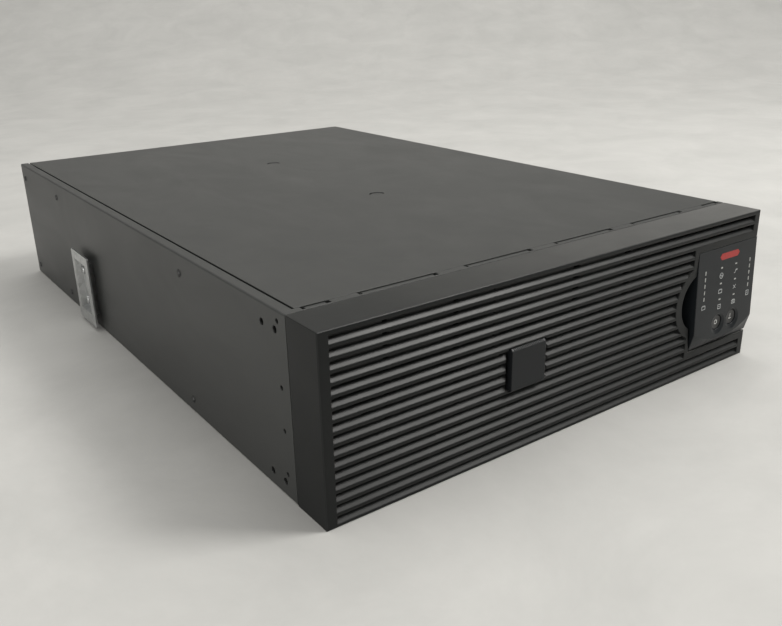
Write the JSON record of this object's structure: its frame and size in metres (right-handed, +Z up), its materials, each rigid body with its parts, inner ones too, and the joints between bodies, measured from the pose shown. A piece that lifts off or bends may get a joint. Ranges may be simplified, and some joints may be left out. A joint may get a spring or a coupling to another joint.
{
  "type": "rackmount ups",
  "caption": "Low, deep rack or tower uninterruptible power supply: louvred pull-off bezel, tilted display module with push buttons, battery drawers behind it, fans and outlets at the rear.",
  "frame": {"origin": "middle of the base, in the plane it rests on", "axes": "+Z up, the front faces -Y, +X to the right seen from the front"},
  "size_m": [0.447, 0.668, 0.13],
  "materials": {
    "case_steel": "satin",
    "dark_rivets": "satin",
    "bezel_plastic": "satin",
    "badge_plastic": "satin",
    "display_plastic": "satin",
    "lens_plastic": "satin",
    "zinc_steel": "satin",
    "runner_plastic": "matte",
    "handle_plastic": "matte",
    "battery_case": "matte",
    "terminal_metal": "satin",
    "connector_plastic": "satin",
    "rocker_plastic": "gloss",
    "circuit_board": "satin",
    "standoff_brass": "satin",
    "heatsink_aluminium": "satin",
    "chip_epoxy": "matte",
    "capacitor_sleeve": "gloss",
    "winding_enamel": "satin",
    "ferrite": "matte",
    "ribbon_plastic": "satin",
    "serial_metal": "satin",
    "plug_green": "satin"
  },
  "bodies": {
    "chassis": {"chassis_pan": "case_steel", "top_cover": "case_steel", "front_frame": "case_steel", "rear_panel": "case_steel", "terminal_cover": "case_steel", "card_slot_cover": "case_steel", "side_rivets": "dark_rivets", "rail_bracket_left": "zinc_steel", "rail_bracket_right": "zinc_steel", "bracket_screws": "zinc_steel", "rear_screws": "zinc_steel", "ground_stud": "zinc_steel", "fan_guards": "zinc_steel", "bay_side_wall": "zinc_steel", "bay_rear_wall": "zinc_steel", "mains_filter": "zinc_steel", "drawer_guides": "runner_plastic", "battery_receptacles": "connector_plastic", "display_socket": "connector_plastic", "battery_port_cap": "connector_plastic", "locking_outlets": "connector_plastic", "breaker_bodies": "connector_plastic", "terminal_block": "connector_plastic", "fan_frames": "connector_plastic", "power_board": "circuit_board", "charger_board": "circuit_board", "control_board": "circuit_board", "board_standoffs": "standoff_brass", "heatsinks": "heatsink_aluminium", "power_transistors": "chip_epoxy", "bus_capacitors": "capacitor_sleeve", "filter_inductors": "winding_enamel", "charger_transformer": "ferrite", "ribbon_cable": "ribbon_plastic", "serial_port": "serial_metal", "remote_off_connector": "plug_green"},
    "left_drawer": {"left_drawer_tray": "zinc_steel", "left_drawer_thumbscrews": "zinc_steel", "left_drawer_handle": "handle_plastic", "left_battery_blocks": "battery_case", "left_battery_terminals": "terminal_metal", "left_battery_plug": "connector_plastic"},
    "right_drawer": {"right_drawer_tray": "zinc_steel", "right_drawer_thumbscrews": "zinc_steel", "right_drawer_handle": "handle_plastic", "right_battery_blocks": "battery_case", "right_battery_terminals": "terminal_metal", "right_battery_plug": "connector_plastic"},
    "bezel": {"front_bezel": "bezel_plastic"},
    "badge_body": {"badge": "badge_plastic"},
    "display_module": {"display_fascia": "display_plastic", "status_lenses": "lens_plastic", "display_board": "circuit_board"},
    "off_button": {"power_off_button": "display_plastic"},
    "on_button": {"power_on_button": "display_plastic"},
    "left_fan": {"fan_rotor_left": "connector_plastic"},
    "right_fan": {"fan_rotor_right": "connector_plastic"},
    "upper_breaker": {"breaker_rocker_upper": "rocker_plastic"},
    "lower_breaker": {"breaker_rocker_lower": "rocker_plastic"}
  },
  "joints": [
    {"name": "left_drawer_slide", "type": "slide", "parent": "chassis", "child": "left_drawer", "axis": [0, -1, 0], "range_m": [0, 0.4]},
    {"name": "right_drawer_slide", "type": "slide", "parent": "chassis", "child": "right_drawer", "axis": [0, -1, 0], "range_m": [0, 0.4]},
    {"name": "bezel_pull", "type": "slide", "parent": "chassis", "child": "bezel", "axis": [0, -1, 0], "range_m": [0, 0.46]},
    {"name": "badge_pull", "type": "slide", "parent": "bezel", "child": "badge_body", "axis": [0, -1, 0], "range_m": [0, 0.01]},
    {"name": "display_pull", "type": "slide", "parent": "chassis", "child": "display_module", "axis": [0, -1, 0], "range_m": [0, 0.04]},
    {"name": "power_off_press", "type": "slide", "parent": "display_module", "child": "off_button", "axis": [0, 1, 0], "range_m": [0, 0.0012], "stiffness_N_per_m": 900, "springref_m": -0.001},
    {"name": "power_on_press", "type": "slide", "parent": "display_module", "child": "on_button", "axis": [0, 1, 0], "range_m": [0, 0.0012], "stiffness_N_per_m": 900, "springref_m": -0.001},
    {"name": "left_fan_spin", "type": "hinge", "parent": "chassis", "child": "left_fan", "pos_m": [-0.164, 0.311, 0.065], "axis": [0, 1, 0], "continuous": true},
    {"name": "right_fan_spin", "type": "hinge", "parent": "chassis", "child": "right_fan", "pos_m": [-0.08, 0.311, 0.065], "axis": [0, 1, 0], "continuous": true},
    {"name": "upper_breaker_rock", "type": "hinge", "parent": "chassis", "child": "upper_breaker", "pos_m": [0.088, 0.324, 0.095], "axis": [1, 0, 0], "range_deg": [-20, 0]},
    {"name": "lower_breaker_rock", "type": "hinge", "parent": "chassis", "child": "lower_breaker", "pos_m": [0.088, 0.324, 0.049], "axis": [1, 0, 0], "range_deg": [-20, 0]}
  ],
  "couplings": [
    {"joint": "right_drawer_slide", "follows": "left_drawer_slide", "ratio": 1},
    {"joint": "bezel_pull", "follows": "left_drawer_slide", "ratio": 1.1}
  ]
}
